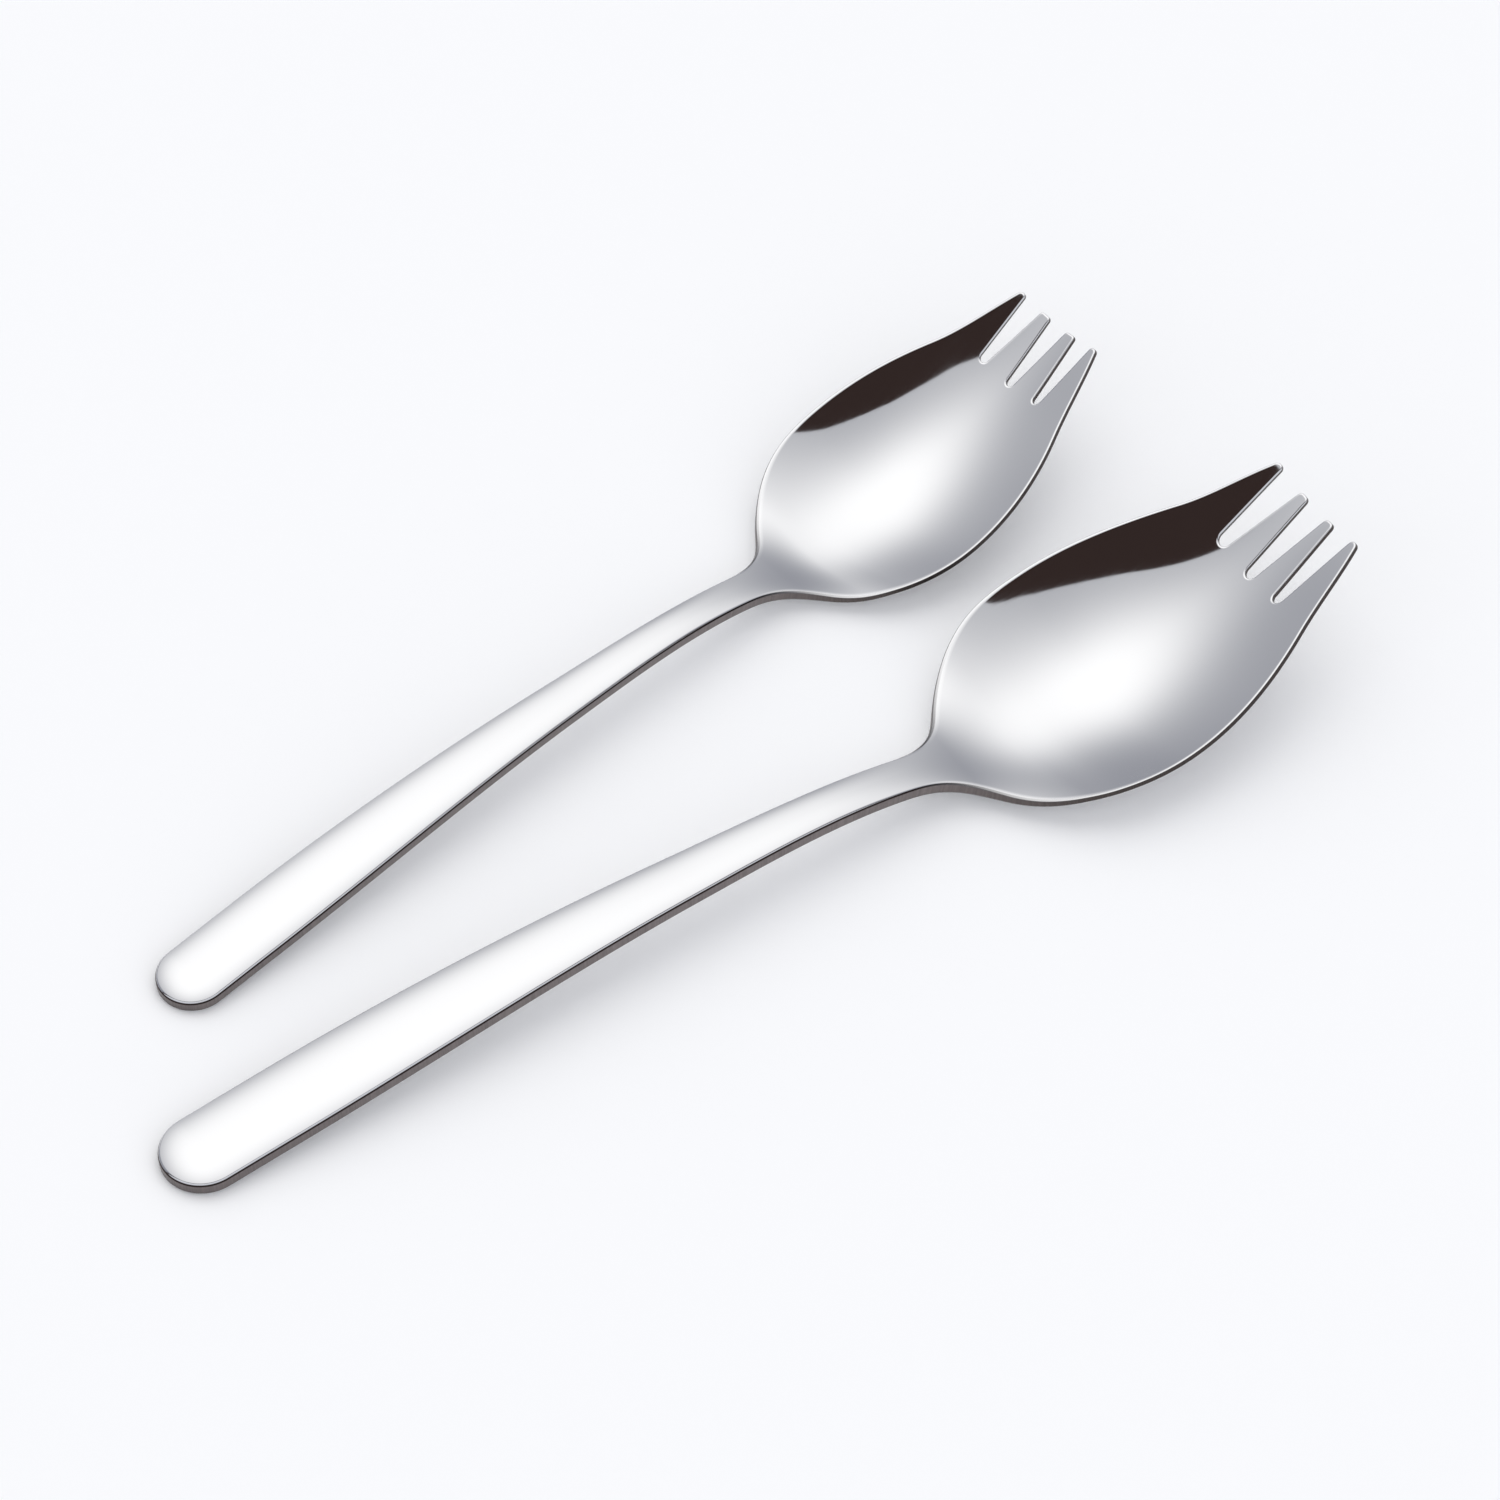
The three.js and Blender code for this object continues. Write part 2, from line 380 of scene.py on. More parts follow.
class StudioSettings(PropertyGroup):
    """The floor, the light and the camera."""

    floor_colour: colour_property("Floor", "Colour of the plain floor", "#f9f9f9")
    softbox_colour: colour_property("Softbox", "Colour of the middle of the overhead softbox", "#ffffff")
    falloff_colour: colour_property("Softbox edge", "Colour to which the softbox falls off", "#888a92")
    shade_colour: colour_property("Flag", "Colour of the dark flag above the camera", "#302624")
    wall_colour: colour_property("Wall", "Colour of the wall beyond the flag", "#c6c8ce")
    softbox_strength: FloatProperty(
        name="Softbox strength", description="Brightness of the softbox and the walls", default=1.28
    )
    fill_strength: FloatProperty(
        name="Fill strength", description="Strength of the soft lamp that lights the floor", default=0.95
    )
    camera_azimuth: FloatProperty(
        name="Camera azimuth",
        description="Direction of the camera round the pair, from straight in front",
        default=math.radians(-34.009),
        subtype="ANGLE",
    )
    camera_elevation: FloatProperty(
        name="Camera elevation",
        description="Angle of the camera above the floor",
        default=math.radians(48.5),
        subtype="ANGLE",
    )
    camera_distance: FloatProperty(
        name="Camera distance",
        description="Distance from the camera to the place that it looks at",
        default=2421.4 * MM,
        unit="LENGTH",
    )
    camera_lens: FloatProperty(
        name="Lens", description="Focal length of the camera in millimetres", default=400, unit="CAMERA"
    )
    camera_target: FloatVectorProperty(
        name="Camera target",
        description="Place that the camera looks at",
        default=(-36.53 * MM, 21.29 * MM, -0.2 * MM),
        subtype="TRANSLATION",
        precision=5,
    )


def places_along(size):
    """Distances from the handle's end to each named place along the spork."""
    neck = size.handle_length
    flare = neck + size.flare_length
    widest = flare + size.bowl_back_length
    shoulder = widest + size.bowl_front_length
    tip = shoulder + size.tine_length
    return SimpleNamespace(
        neck=neck,
        flare=flare,
        widest=widest,
        shoulder=shoulder,
        tip=tip,
        heel=neck + size.heel_past_neck,
        dish_full=neck + size.dish_start_length,
        rest=widest - size.rest_before_widest,
        slot_root=tip - size.slot_length + size.slot_root_width / 2,
    )


def smooth_curve(knots, x):
    """A smooth curve through knots of place, value and slope, a cubic between each two."""
    knots = np.array(knots)
    i = np.clip(np.searchsorted(knots[:, 0], x) - 1, 0, len(knots) - 2)
    x0, y0, slope0 = np.moveaxis(knots[i], -1, 0)
    x1, y1, slope1 = np.moveaxis(knots[i + 1], -1, 0)
    span = x1 - x0
    t = (x - x0) / span
    to_end = t * t * (3 - 2 * t)
    start_pull = t * (1 - t) ** 2 * span * slope0
    end_pull = t * t * (t - 1) * span * slope1
    return y0 + (y1 - y0) * to_end + start_pull + end_pull


def smoothstep(x, start, end):
    """0 before start, 1 after end, and an S-shaped rise between them."""
    t = np.clip((x - start) / (end - start), 0, 1)
    return t * t * (3 - 2 * t)


def mix(a, b, share):
    """The value that lies a share of the way from a to b."""
    return a + (b - a) * share


def side_half_width(size, x):
    """Half the width of the outline at x, before the handle's end is rounded off."""
    at = places_along(size)
    knots = [
        (0, size.handle_width / 2, 0),
        (size.handle_taper_start, size.handle_width / 2, 0),
        (at.neck, size.neck_width / 2, 0),
        (at.flare, size.flare_width / 2, size.flare_slope),
        (at.widest, size.bowl_width / 2, 0),
        (at.shoulder, size.shoulder_width / 2, size.shoulder_slope),
        (at.tip, size.tip_width / 2, size.tip_slope),
    ]
    return smooth_curve(knots, x)


def end_share(size, x):
    """How far x lies into the handle's rounded end: 1 at the very end, 0 from the round on."""
    return np.maximum(0, 1 - x / size.end_round_length)


def half_width(size, x):
    """Half the width of the outline at x: the sides times a quarter ellipse at the end."""
    return side_half_width(size, x) * np.sqrt(1 - end_share(size, x) ** 2)


def sheet_height(size, x, y):
    """Height of the sheet's middle: a line along the spork plus a hyperbola across it.

    The line arches from the handle's end over a crest, dips into the bowl where the spork
    rests and sweeps up to the tips. With v as the share of the way out to the outline, the
    hyperbola rises with sqrt(1 + (k v)^2), from nothing at the middle to the rim's height
    w^2 / 2R at the outline, for a half width w. It starts at the neck, and towards the tips R
    goes over to a radius of their own.
    """
    at = places_along(size)
    spine = smooth_curve(
        [
            (0, size.handle_thickness / 2 - REST_FLAT_DEPTH, size.end_slope),
            (size.crest_at, size.crest_height, 0),
            (at.heel, size.heel_height, size.heel_slope),
            (at.rest - size.floor_before_rest, size.floor_start_height, size.floor_start_slope),
            (at.rest, size.bowl_thickness / 2 - REST_FLAT_DEPTH, 0),
            (at.widest, size.floor_height, size.floor_rise),
            (at.tip, size.tip_height, size.tip_rise),
        ],
        x,
    )
    bowl = smoothstep(x, at.neck, at.dish_full) / size.dish_radius
    fade = smoothstep(x, at.shoulder - size.dish_fade_length, at.tip)
    rim = mix(bowl, 1 / size.tip_dish_radius, fade) * side_half_width(size, x) ** 2 / 2
    way_out = y / side_half_width(size, x)
    rise = np.sqrt(1 + (SECTION_STEEPNESS * way_out) ** 2) - 1
    return spine + rim * rise / (math.sqrt(1 + SECTION_STEEPNESS ** 2) - 1)


def in_bowl(size, x):
    """0 along the handle, rising to 1 from the neck to the resting place in the bowl."""
    at = places_along(size)
    return smoothstep(x, at.neck, at.rest)


def face_offset(size, xy, side):
    """Distance from the sheet's middle to its upper face (side 1) or its lower face (side -1).

    The sheet thins towards the tines, and towards the bowl's rim with a power of the share of
    the way out from the middle line to the outline. The upper face of the handle is crowned:
    it falls off with another power of that share. The crown shrinks with the handle's width,
    and fades at the neck.
    """
    x, y = np.moveaxis(xy, -1, 0)
    at = places_along(size)
    width = side_half_width(size, x)
    way_out = np.hypot(end_share(size, x), y / width)
    thinned = mix(smoothstep(x, at.widest, at.slot_root), 1, way_out ** RIM_POWER)
    in_sheet = mix(size.bowl_thickness, size.rim_thickness, thinned)
    half = mix(size.handle_thickness, in_sheet, in_bowl(size, x)) / 2
    if side < 0:
        return -half
    fade = smoothstep(x, at.neck - size.crown_before_neck, at.neck + size.crown_past_neck)
    crown = size.handle_crown * width / (size.handle_width / 2) * (1 - fade)
    return half + crown * (1 - way_out ** CROWN_POWER)


def sheet_frame(size, xy):
    """The sheet's middle points, their unit normals, and the slopes along and across."""
    x, y = np.moveaxis(xy, -1, 0)
    z = sheet_height(size, x, y)
    along = (sheet_height(size, x + SLOPE_REACH, y) - sheet_height(size, x - SLOPE_REACH, y))
    across = (sheet_height(size, x, y + SLOPE_REACH) - sheet_height(size, x, y - SLOPE_REACH))
    slopes = np.stack([along, across], -1) / (2 * SLOPE_REACH)
    normals = unit(np.concatenate([-slopes, np.ones_like(z)[..., None]], -1))
    return np.concatenate([xy, z[..., None]], -1), normals, slopes


def unit(vectors):
    """The vectors at length 1."""
    return vectors / np.linalg.norm(vectors, axis=-1, keepdims=True)


def off_sheet(size, xy, offset):
    """Points off the sheet's middle by a distance square to it, kept above the table."""
    middle, normals, _ = sheet_frame(size, xy)
    points = middle + offset[..., None] * normals
    points[..., 2] = np.maximum(points[..., 2], 0)
    return points


def face_points(size, xy, side):
    """Points on the upper or the lower face above the flat places xy."""
    return off_sheet(size, xy, face_offset(size, xy, side))


def face_normals(size, xy, side):
    """Outward normals of a face, from the points a short reach away on each side."""
    ahead, leftward = np.eye(2) * SLOPE_REACH
    along = face_points(size, xy + ahead, side) - face_points(size, xy - ahead, side)
    across = face_points(size, xy + leftward, side) - face_points(size, xy - leftward, side)
    return side * unit(np.cross(along, across))


def tine_edges(size, tine, x):
    """The right and left edges of a tine at x: the outline on the outside, a slot's side within."""
    at = places_along(size)
    share = (x - at.slot_root) / (at.tip - at.slot_root)
    pitch = mix(size.slot_root_pitch, size.slot_tip_pitch, share)
    half = mix(size.slot_root_width, size.slot_tip_width, share) / 2
    from_middle = tine - SLOTS / 2
    right = (from_middle - 0.5) * pitch + half if tine > 0 else -half_width(size, x)
    left = (from_middle + 0.5) * pitch - half if tine < TINES - 1 else half_width(size, x)
    return right, left


def tine_outline(size, tine):
    """The three sides of a tine: out along its right edge, across its end, back along its left.

    The corners of the end are quarter circles: the edges draw in by r(1 - cos a) while x
    gains r sin a.
    """
    at = places_along(size)
    radius = size.tip_rounding
    straight = np.linspace(at.slot_root, at.tip - radius, TINE_STEPS + 1)
    turn = np.linspace(0, np.pi / 2, CORNER_STEPS + 1)[1:]
    x = np.concatenate([straight, at.tip - radius + radius * np.sin(turn)])
    draw_in = np.concatenate([np.zeros_like(straight), radius * (1 - np.cos(turn))])
    right, left = tine_edges(size, tine, x)
    out = np.stack([x, right + draw_in], -1)
    back = np.stack([x, left - draw_in], -1)[::-1]
    end = np.linspace(out[-1], back[0], TINE_COLUMNS + 1)
    return out, end, back


def slot_root(size, slot):
    """The round root of a slot: a half circle that starts at the slot's right side."""
    at = places_along(size)
    angle = np.linspace(-np.pi / 2, -3 * np.pi / 2, ROOT_COLUMNS + 1)
    middle = (slot - (SLOTS - 1) / 2) * size.slot_root_pitch
    circle = np.stack([np.cos(angle), np.sin(angle)], -1)
    return np.array([at.slot_root, middle]) + size.slot_root_width / 2 * circle


def side_stations(size):
    """Distances along a side: round the handle's end, along the handle, through the bowl.

    The bowl's stations stop before the slots, so that the last stretch to the slots' roots
    has stations of its own. Returns both lists.
    """
    at = places_along(size)
    turn = np.linspace(0, np.pi / 2, END_STEPS + 1)[:-1]
    end = size.end_round_length * (1 - np.cos(turn))
    handle = np.linspace(size.end_round_length, at.neck, HANDLE_STEPS + 1)[:-1]
    before_slots = at.widest + size.bowl_front_length / 2
    bowl = np.linspace(at.neck, before_slots, BOWL_STEPS + 1)
    shoulder = np.linspace(before_slots, at.slot_root, SHOULDER_STEPS + 1)
    return np.concatenate([end, handle, bowl]), shoulder


def outline_stretches(size):
    """The flat outline in named stretches, anticlockwise from the middle of the handle's end."""
    body, shoulder = side_stations(size)
    right = [np.stack([x, -half_width(size, x)], -1) for x in (body, shoulder)]
    left = [np.stack([x, half_width(size, x)], -1)[::-1] for x in (body, shoulder)]
    stretches = {"body right": right[0], "shoulder right": right[1]}
    for tine in range(TINES):
        out, end, back = tine_outline(size, tine)
        stretches |= {f"out {tine}": out, f"end {tine}": end, f"back {tine}": back}
        if tine < SLOTS:
            stretches[f"root {tine}"] = slot_root(size, tine)
    return stretches | {"shoulder left": left[1], "body left": left[0]}


def inward_normals(loop):
    """Unit normals to the left of a closed loop, from the circle through each three points."""
    ahead = np.roll(loop, -1, axis=0) - loop
    behind = np.roll(ahead, 1, axis=0)
    length_ahead = np.linalg.norm(ahead, axis=1, keepdims=True)
    length_behind = np.roll(length_ahead, 1, axis=0)
    tangent = ahead / length_ahead * length_behind + behind / length_behind * length_ahead
    return unit(np.stack([-tangent[:, 1], tangent[:, 0]], -1))


def patch_between(bottom, top, right, left):
    """Flat points that fill four edges: both pairs blended, less the blend of the corners."""
    s = np.linspace(0, 1, len(bottom))[None, :, None]
    t = np.linspace(0, 1, len(right))[:, None, None]
    across = mix(right[:, None], left[:, None], s)
    along = mix(bottom[None], top[None], t)
    corners = mix(mix(bottom[0], bottom[-1], s), mix(top[0], top[-1], s), t)
    return across + along - corners


def flat_patches(inner, stretches):
    """The flat patches inside the rounded edge: handle and bowl, shoulders, and each tine."""
    inner_of = {name: inner[places] for name, places in stretches.items()}
    columns = TINES * TINE_COLUMNS + SLOTS * ROOT_COLUMNS
    body_right = inner_of["body right"]
    body_left = inner_of["body left"][::-1]
    end = np.repeat(body_right[:1], columns + 1, axis=0)
    bowl_row = np.linspace(body_right[-1], body_left[-1], columns + 1)
    patches = [patch_between(end, bowl_row, body_right, body_left)]
    front_row = []
    for tine in range(TINES):
        right = inner_of[f"out {tine}"]
        left = inner_of[f"back {tine}"][::-1]
        root_row = np.linspace(right[0], left[0], TINE_COLUMNS + 1)
        patches.append(patch_between(root_row, inner_of[f"end {tine}"], right, left))
        front_row.append(root_row[:-1])
        if tine < SLOTS:
            front_row.append(inner_of[f"root {tine}"][:-1])
    front_row = np.concatenate(front_row + [root_row[-1:]])
    shoulders = inner_of["shoulder right"], inner_of["shoulder left"][::-1]
    return patches + [patch_between(bowl_row, front_row, *shoulders)]


def edge_widths(size, x):
    """Widths of the rounding on the upper and lower side, and its depth on both."""
    at = places_along(size)
    depth = mix(size.handle_rounding, size.bowl_rounding, in_bowl(size, x))
    front_roll = mix(size.bowl_roll, size.tine_roll, smoothstep(x, at.widest, at.slot_root))
    bowl_roll = mix(size.flare_roll, front_roll, smoothstep(x, at.flare, at.widest))
    upper = mix(size.handle_roll, bowl_roll, smoothstep(x, at.neck, at.flare))
    return upper, depth, depth


def rounded_side(size, loop, inward, side):
    """One rounding of the edge: a quarter ellipse from a face to the land, carried round.

    At an angle a the place lies w(1 - sin a) in from the outline and d(1 - cos a) off the
    face, for a width w and a depth d. The normal has w cos a of the face's own and d sin a
    of the outline's. The way round the edge, sin a squared, comes last.
    """
    upper, lower, depth = edge_widths(size, loop[:, 0])
    width = upper if side > 0 else lower
    angles = np.linspace(0, np.pi / 2, ROUND_STEPS + 1)[:, None]
    places = loop + (width * (1 - np.sin(angles)))[..., None] * inward
    _, _, slopes = sheet_frame(size, places)
    across = -inward * np.ones_like(slopes)
    outward = unit(np.concatenate([across, (across * slopes).sum(-1)[..., None]], -1))
    offset = face_offset(size, places, side) - side * depth * (1 - np.cos(angles))
    from_face = (width * np.cos(angles))[..., None] * face_normals(size, places, side)
    from_outline = (depth * np.sin(angles))[..., None] * outward
    way_round = np.broadcast_to(np.sin(angles) ** 2, places.shape[:2])
    return off_sheet(size, places, offset), unit(from_face + from_outline), places, way_round


def edge_band(size, loop, inward):
    """The edge all the way round: upper rounding, straight land, lower rounding."""
    upper = rounded_side(size, loop, inward, 1)
    lower = rounded_side(size, loop, inward, -1)
    share = np.linspace(0, 1, LAND_STEPS + 1)[1:-1]
    bands = []
    for above, below in zip(upper, lower):
        between = share.reshape(-1, *[1] * (above.ndim - 1))
        bands.append(np.concatenate([above, mix(above[-1], below[-1], between), below[::-1]]))
    points, normals, flat, way_round = bands
    return points, unit(normals), flat, way_round


def grid_faces(rows, columns, first, turned):
    """Quads between the points of a grid, row after row, numbered from first."""
    number = first + np.arange(rows * columns).reshape(rows, columns)
    corners = [number[:-1, :-1], number[1:, :-1], number[1:, 1:], number[:-1, 1:]]
    if turned:
        corners.reverse()
    return np.stack(corners, -1).reshape(-1, 4)


def spork_surface(size):
    """All grids of one spork: both faces of every flat patch, and the edge band round them.

    Each grid has its points, normals, flat places and the share of cut edge at each point.
    """
    parts = outline_stretches(size)
    loop = np.concatenate([points[:-1] for points in parts.values()])
    starts = np.cumsum([0] + [len(points) - 1 for points in parts.values()])
    stretches = {
        name: np.arange(start, start + len(points)) % len(loop)
        for (name, points), start in zip(parts.items(), starts)
    }
    inward = inward_normals(loop)
    upper, lower, _ = edge_widths(size, loop[:, 0])
    grids = []
    for side, width in ((1, upper), (-1, lower)):
        for patch in flat_patches(loop + width[:, None] * inward, stretches):
            uncut = np.zeros(patch.shape[:2])
            points = face_points(size, patch, side)
            grids.append((points, face_normals(size, patch, side), patch, uncut, side < 0))
    band = edge_band(size, loop, inward)
    closed = [np.concatenate([values, values[:, :1]], axis=1) for values in band]
    return grids + [(*closed, False)]


def turn_of(name):
    """The turn that lays a spork along the line from its handle's mount to its bowl's."""
    ahead = (MOUNTS[f"{name}_bowl_rest"] - MOUNTS[f"{name}_handle_rest"]).normalized()
    return np.array([[ahead.x, -ahead.y, 0], [ahead.y, ahead.x, 0], [0, 0, 1]])


def add_attribute(mesh, name, kind, values):
    """A named number or vector at each point of a mesh."""
    layer = mesh.attributes.new(name, kind, "POINT")
    field = "vector" if kind == "FLOAT_VECTOR" else "value"
    layer.data.foreach_set(field, values.astype(np.float32).ravel())


def make_spork(name, size, material):
    """One spork as a closed mesh that stands for its solid and moves with its body."""
    grids = spork_surface(size)
    faces = []
    first = 0
    for points, *_, turned in grids:
        rows, columns = points.shape[:2]
        faces.append(grid_faces(rows, columns, first, turned))
        first += rows * columns
    points, normals, flat, cut = (
        np.concatenate([grid[i].reshape(grid[i].shape[0] * grid[i].shape[1], -1) for grid in grids])
        for i in range(4)
    )
    from_rest = points - np.array([places_along(size).rest, 0, 0])
    in_place = from_rest @ turn_of(name).T + np.array(MOUNTS[f"{name}_bowl_rest"])
    mesh = bpy.data.meshes.new(f"{name}_spork_steel")
    mesh.from_pydata(in_place.tolist(), [], np.concatenate(faces).tolist())
    add_attribute(mesh, "blank_place", "FLOAT_VECTOR", np.pad(flat, ((0, 0), (0, 1))))
    add_attribute(mesh, "cut_edge", "FLOAT", cut)
    add_attribute(mesh, "bowl_share", "FLOAT", in_bowl(size, flat[:, 0]))
    add_attribute(mesh, "true_normal", "FLOAT_VECTOR", normals @ turn_of(name).T)
    weld(mesh)
    mesh.materials.append(material)
    piece = bpy.data.objects.new(f"{name}_spork_steel", mesh)
    bpy.context.scene.collection.objects.link(piece)
    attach(piece, f"{name}_spork")
    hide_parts(f"{name}_spork")


def weld(mesh):
    """Joins the grids where their points meet, and shades the mesh by its true normals."""
    joined = bmesh.new()
    joined.from_mesh(mesh)
    bmesh.ops.remove_doubles(joined, verts=joined.verts, dist=WELD_REACH)
    joined.to_mesh(mesh)
    joined.free()
    mesh.shade_smooth()
    normals = np.zeros(len(mesh.vertices) * 3, np.float32)
    mesh.attributes["true_normal"].data.foreach_get("vector", normals)
    mesh.normals_split_custom_set_from_vertices(normals.reshape(-1, 3).tolist())
    mesh.attributes.remove(mesh.attributes["true_normal"])


def add_node(tree, kind, inputs, **settings):
    """Adds a node, sets what it is told, and fills its inputs with values or links."""
    node = tree.nodes.new(kind)
    for key, value in settings.items():
        setattr(node, key, value)
    for key, value in inputs.items():
        if isinstance(value, bpy.types.NodeSocket):
            tree.links.new(value, node.inputs[key])
        else:
            node.inputs[key].default_value = value
    return node


def over_noise(tree, noise, low, high):
    """A value that goes from low to high over the span in which most of a noise lies."""
    first, last = NOISE_SPAN
    ends = {"From Min": first, "From Max": last, "To Min": low, "To Max": high}
    return add_node(tree, "ShaderNodeMapRange", {"Value": noise, **ends}).outputs[0]


def mirror_polished_steel(finish):
    """Stainless steel, stamped, mirror-polished on its faces and only tumbled on its cut edge.

    The faces show the studio almost as a mirror does, with faint buffing lines along the
    spork and a slow waviness of the sheet. The cut edge is duller and finely grained, and darker,
    partly as tumbled steel and partly as a painted dark reflection. On the handle a painted dark
    reflection line runs where the faces turn over into the edge.
    """
    material = bpy.data.materials.new(STEEL_NAME)
    material.use_nodes = True
    tree = material.node_tree
    shader = tree.nodes["Principled BSDF"]
    shader.inputs["Metallic"].default_value = 1
    place = add_node(tree, "ShaderNodeAttribute", {}, attribute_name="blank_place").outputs["Vector"]
    edge = add_node(tree, "ShaderNodeAttribute", {}, attribute_name="cut_edge").outputs["Fac"]
    bowl = add_node(tree, "ShaderNodeAttribute", {}, attribute_name="bowl_share").outputs["Fac"]

    # Buffing lines along the spork, really hundredths of a millimetre apart, drawn coarser
    # so that they show.
    stretch = (1 / LINE_LENGTH, 1 / LINE_SPACING, 1)
    line_place = add_node(tree, "ShaderNodeMapping", {"Vector": place, "Scale": stretch})
    lines = add_node(
        tree, "ShaderNodeTexNoise", {"Vector": line_place.outputs[0], "Scale": 1, "Detail": 2}
    ).outputs["Fac"]

    # Slow waves that stamping and buffing leave in the sheet.
    waves = add_node(
        tree, "ShaderNodeTexNoise", {"Vector": place, "Scale": 1 / WAVE_SPACING, "Detail": 1}
    ).outputs["Fac"]

    # Grain of the tumbled edge.
    grain = add_node(
        tree, "ShaderNodeTexNoise", {"Vector": place, "Scale": 1 / GRAIN_SIZE, "Detail": 3}
    ).outputs["Fac"]

    # Colour: steel on the faces, a painted dark reflection line on the handle where they turn
    # over into the edge, and on the cut edge a darker and slightly uneven steel, which is darkest
    # round the bowl and tines. The cut edge's darkness is partly the duller tumbled steel and
    # partly a painted dark reflection.
    tone = over_noise(tree, grain, *EDGE_TONES)
    land = add_node(
        tree,
        "ShaderNodeMix",
        {0: bowl, 6: (*finish.edge_tumbled_and_reflection_colour, 1), 7: (*finish.rim_tumbled_and_reflection_colour, 1)},
        data_type="RGBA",
    )
    uneven = add_node(
        tree, "ShaderNodeVectorMath", {0: land.outputs[2], "Scale": tone}, operation="SCALE"
    )
    colour = (*finish.face_colour, 1)
    handle = add_node(tree, "ShaderNodeMath", {0: 1.0, 1: bowl}, operation="SUBTRACT").outputs[0]
    # The corner's painted dark reflection line lies only on the handle. The cut land, partly duller
    # steel and partly painted dark reflection, lies all round.
    layers = (
        (CORNER_SHARES, handle, (*finish.corner_dark_reflection_colour, 1)),
        (LAND_SHARES, 1.0, uneven.outputs[0]),
    )
    for (start, end), strength, layer in layers:
        share = add_node(
            tree,
            "ShaderNodeMapRange",
            {"Value": edge, "From Min": start, "From Max": end, "To Max": strength},
            interpolation_type="SMOOTHSTEP",
        )
        colour = add_node(
            tree, "ShaderNodeMix", {0: share.outputs[0], 6: colour, 7: layer}, data_type="RGBA"
        ).outputs[2]
    tree.links.new(colour, shader.inputs["Base Color"])

    # Roughness: low on the faces and a little uneven along the lines, higher on the edge.
    smoothest, roughest = (finish.face_roughness * factor for factor in ROUGHNESS_FACTORS)
    on_faces = over_noise(tree, lines, smoothest, roughest)
    roughness = add_node(
        tree, "ShaderNodeMix", {0: edge, 2: on_faces, 3: finish.edge_roughness}, data_type="FLOAT"
    )
    tree.links.new(roughness.outputs[0], shader.inputs["Roughness"])

    # Relief: the three patterns at their real depths, the grain only on the edge.
    edge_grain = add_node(tree, "ShaderNodeMath", {0: grain, 1: edge}, operation="MULTIPLY").outputs[0]
    height = 0.0
    for pattern, depth in ((waves, WAVE_DEPTH), (lines, LINE_DEPTH), (edge_grain, GRAIN_DEPTH)):
        height = add_node(
            tree, "ShaderNodeMath", {0: pattern, 1: depth, 2: height}, operation="MULTIPLY_ADD"
        ).outputs[0]
    relief = add_node(tree, "ShaderNodeBump", {"Strength": 1, "Distance": 1, "Height": height})
    tree.links.new(relief.outputs[0], shader.inputs["Normal"])
    return material


def steel(context):
    """The steel that both sporks share, made when it is first asked for."""
    return bpy.data.materials.get(STEEL_NAME) or mirror_polished_steel(context.scene.steel_finish)


def toward_camera(studio):
    """Unit vector from the place that the camera looks at to the camera."""
    azimuth, elevation = studio.camera_azimuth, studio.camera_elevation
    level = math.cos(elevation)
    return Vector((math.sin(azimuth) * level, -math.cos(azimuth) * level, math.sin(elevation)))


def add_camera(studio):
    """The camera at the photograph's angle, with a long lens and everything in focus."""
    camera = bpy.data.objects.new("photo_camera", bpy.data.cameras.new("photo_camera"))
    camera.data.lens = studio.camera_lens
    camera.data.sensor_width = SENSOR_WIDTH
    back = toward_camera(studio)
    camera.location = Vector(studio.camera_target) + back * studio.camera_distance
    camera.rotation_euler = back.to_track_quat("Z", "Y").to_euler()
    bpy.context.scene.collection.objects.link(camera)
    bpy.context.scene.camera = camera


def add_floor(studio):
    """A plain pale floor, wide enough to fill every view from above."""
    half = FLOOR_SIZE / 2
    corners = [(-half, -half, -FLOOR_DROP), (half, -half, -FLOOR_DROP)]
    corners += [(-x, -y, z) for x, y, z in corners]
    mesh = bpy.data.meshes.new("studio_floor")
    mesh.from_pydata(corners, [], [(0, 1, 2, 3)])
    paper = bpy.data.materials.new("matt_white_paper")
    paper.use_nodes = True
    shader = paper.node_tree.nodes["Principled BSDF"]
    shader.inputs["Base Color"].default_value = (*studio.floor_colour, 1)
    shader.inputs["Roughness"].default_value = 1
    shader.inputs["Specular IOR Level"].default_value = 0
    mesh.materials.append(paper)
    floor = bpy.data.objects.new("studio_floor", mesh)
    bpy.context.scene.collection.objects.link(floor)


def add_fill_lamp(studio):
    """A very wide soft lamp overhead that lights the floor and casts no highlight on steel."""
    lamp = bpy.data.objects.new("fill_lamp", bpy.data.lights.new("fill_lamp", "SUN"))
    lamp.data.energy = studio.fill_strength
    lamp.data.angle = FILL_ANGLE
    lamp.visible_glossy = False
    bpy.context.scene.collection.objects.link(lamp)


